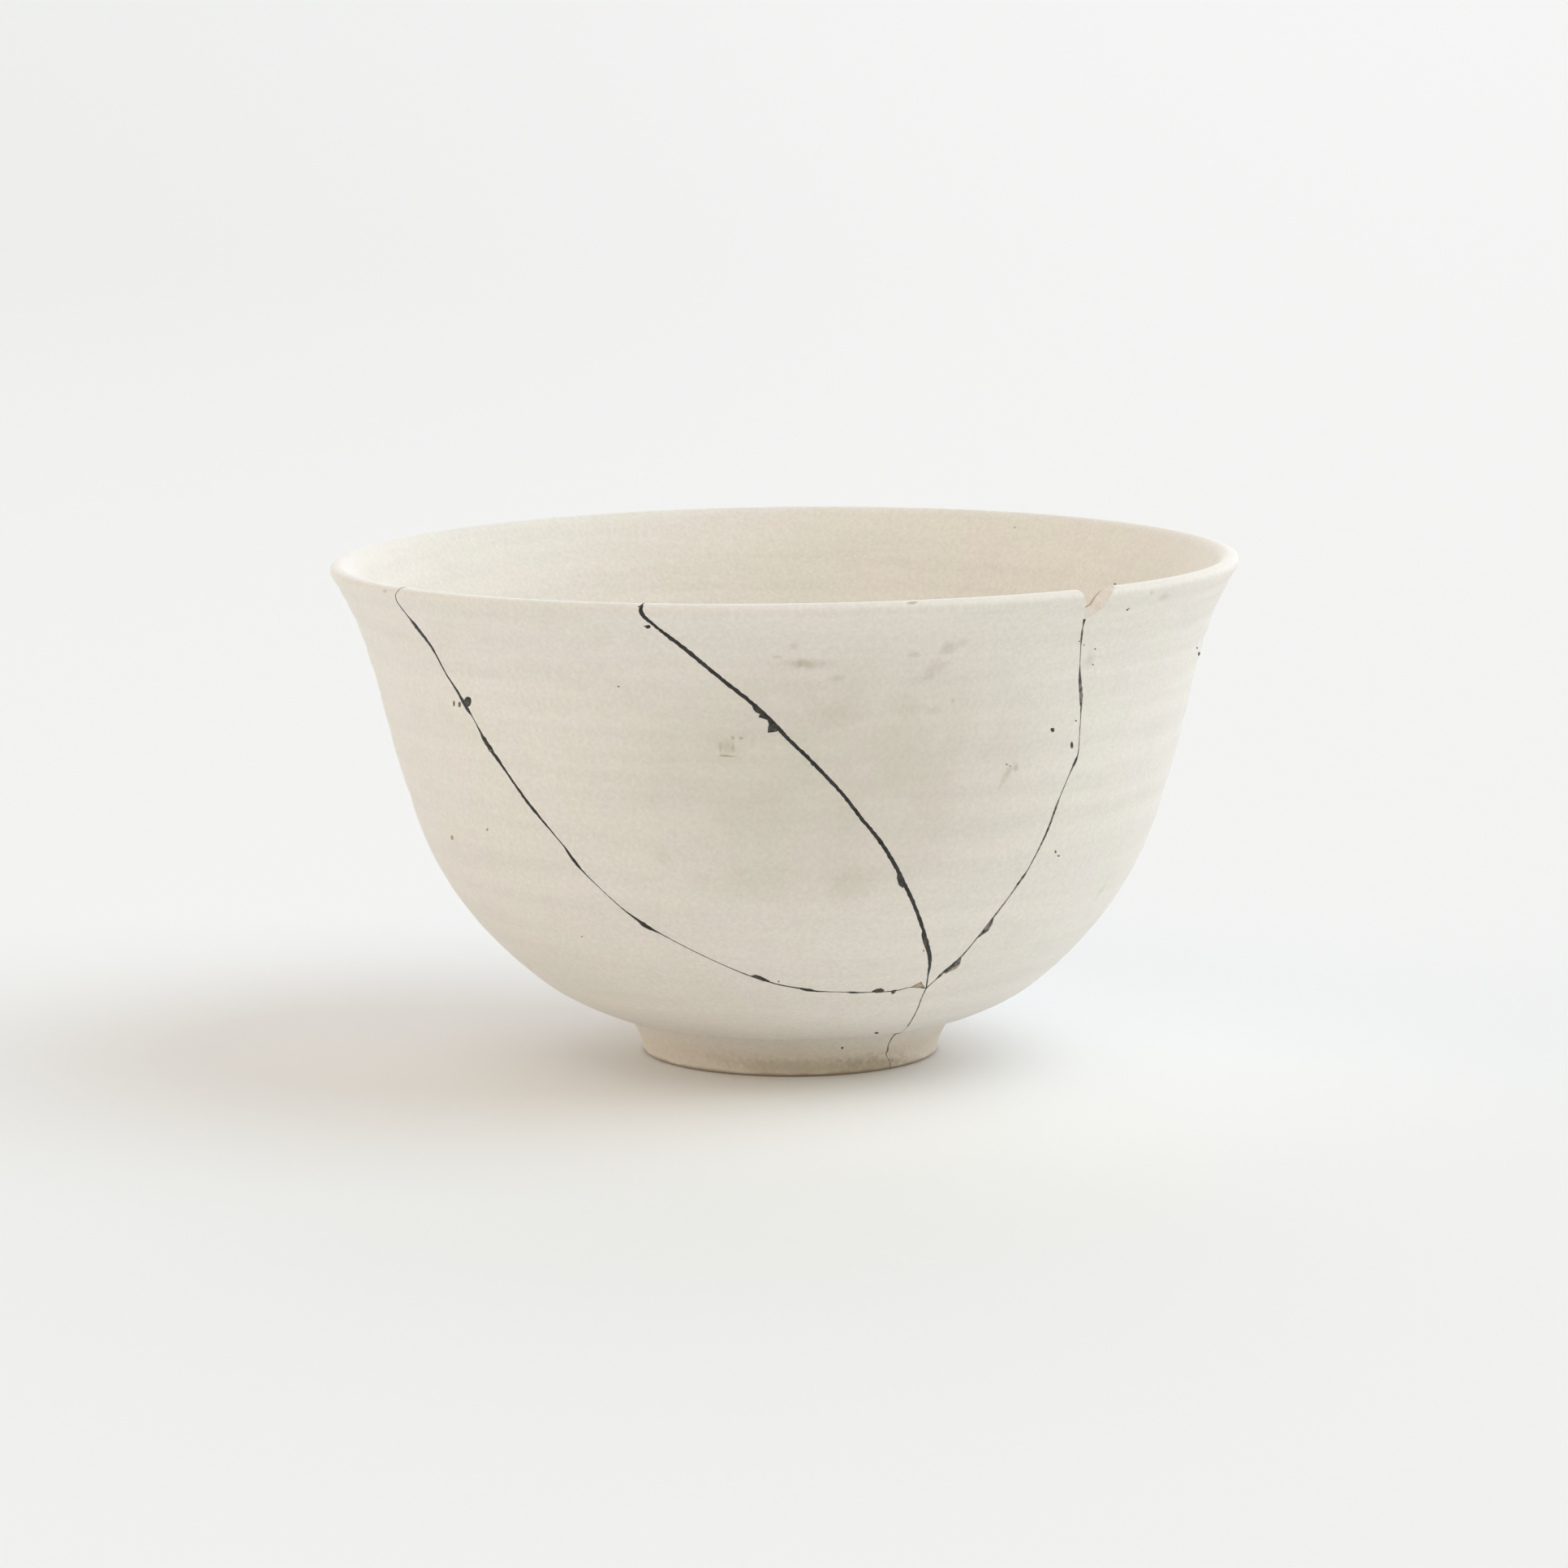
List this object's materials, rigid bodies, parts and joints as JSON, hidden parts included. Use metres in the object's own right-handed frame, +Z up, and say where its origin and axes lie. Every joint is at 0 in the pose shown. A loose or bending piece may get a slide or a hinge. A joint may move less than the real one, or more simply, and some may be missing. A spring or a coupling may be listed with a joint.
{
  "type": "mended ceramic bowl",
  "caption": "Thrown white ceramic bowl with a flared rim on a small turned foot, broken and mended with dark filler, with a chip missing from the rim.",
  "frame": {"origin": "on the plane that the foot stands on, under the middle of the rim; the foot's own centre is 0.97 mm to the +X side, because the wall drifts sideways as it rises", "axes": "+Z up out of the bowl's mouth; -Y is the front, with the mended breaks; +X is to the right seen from the front, the side of the rim's chip"},
  "size_m": [0.15, 0.15, 0.084],
  "materials": {
    "bisque_porcelain": "unglazed, matt, warm white with faint grey clouds",
    "mending_filler": "nearly black, slightly glossy filler in the breaks, uneven in width"
  },
  "bodies": {
    "root": {"bowl_body": "bisque_porcelain", "front_left_sherd": "bisque_porcelain", "front_right_sherd": "bisque_porcelain"}
  },
  "joints": []
}
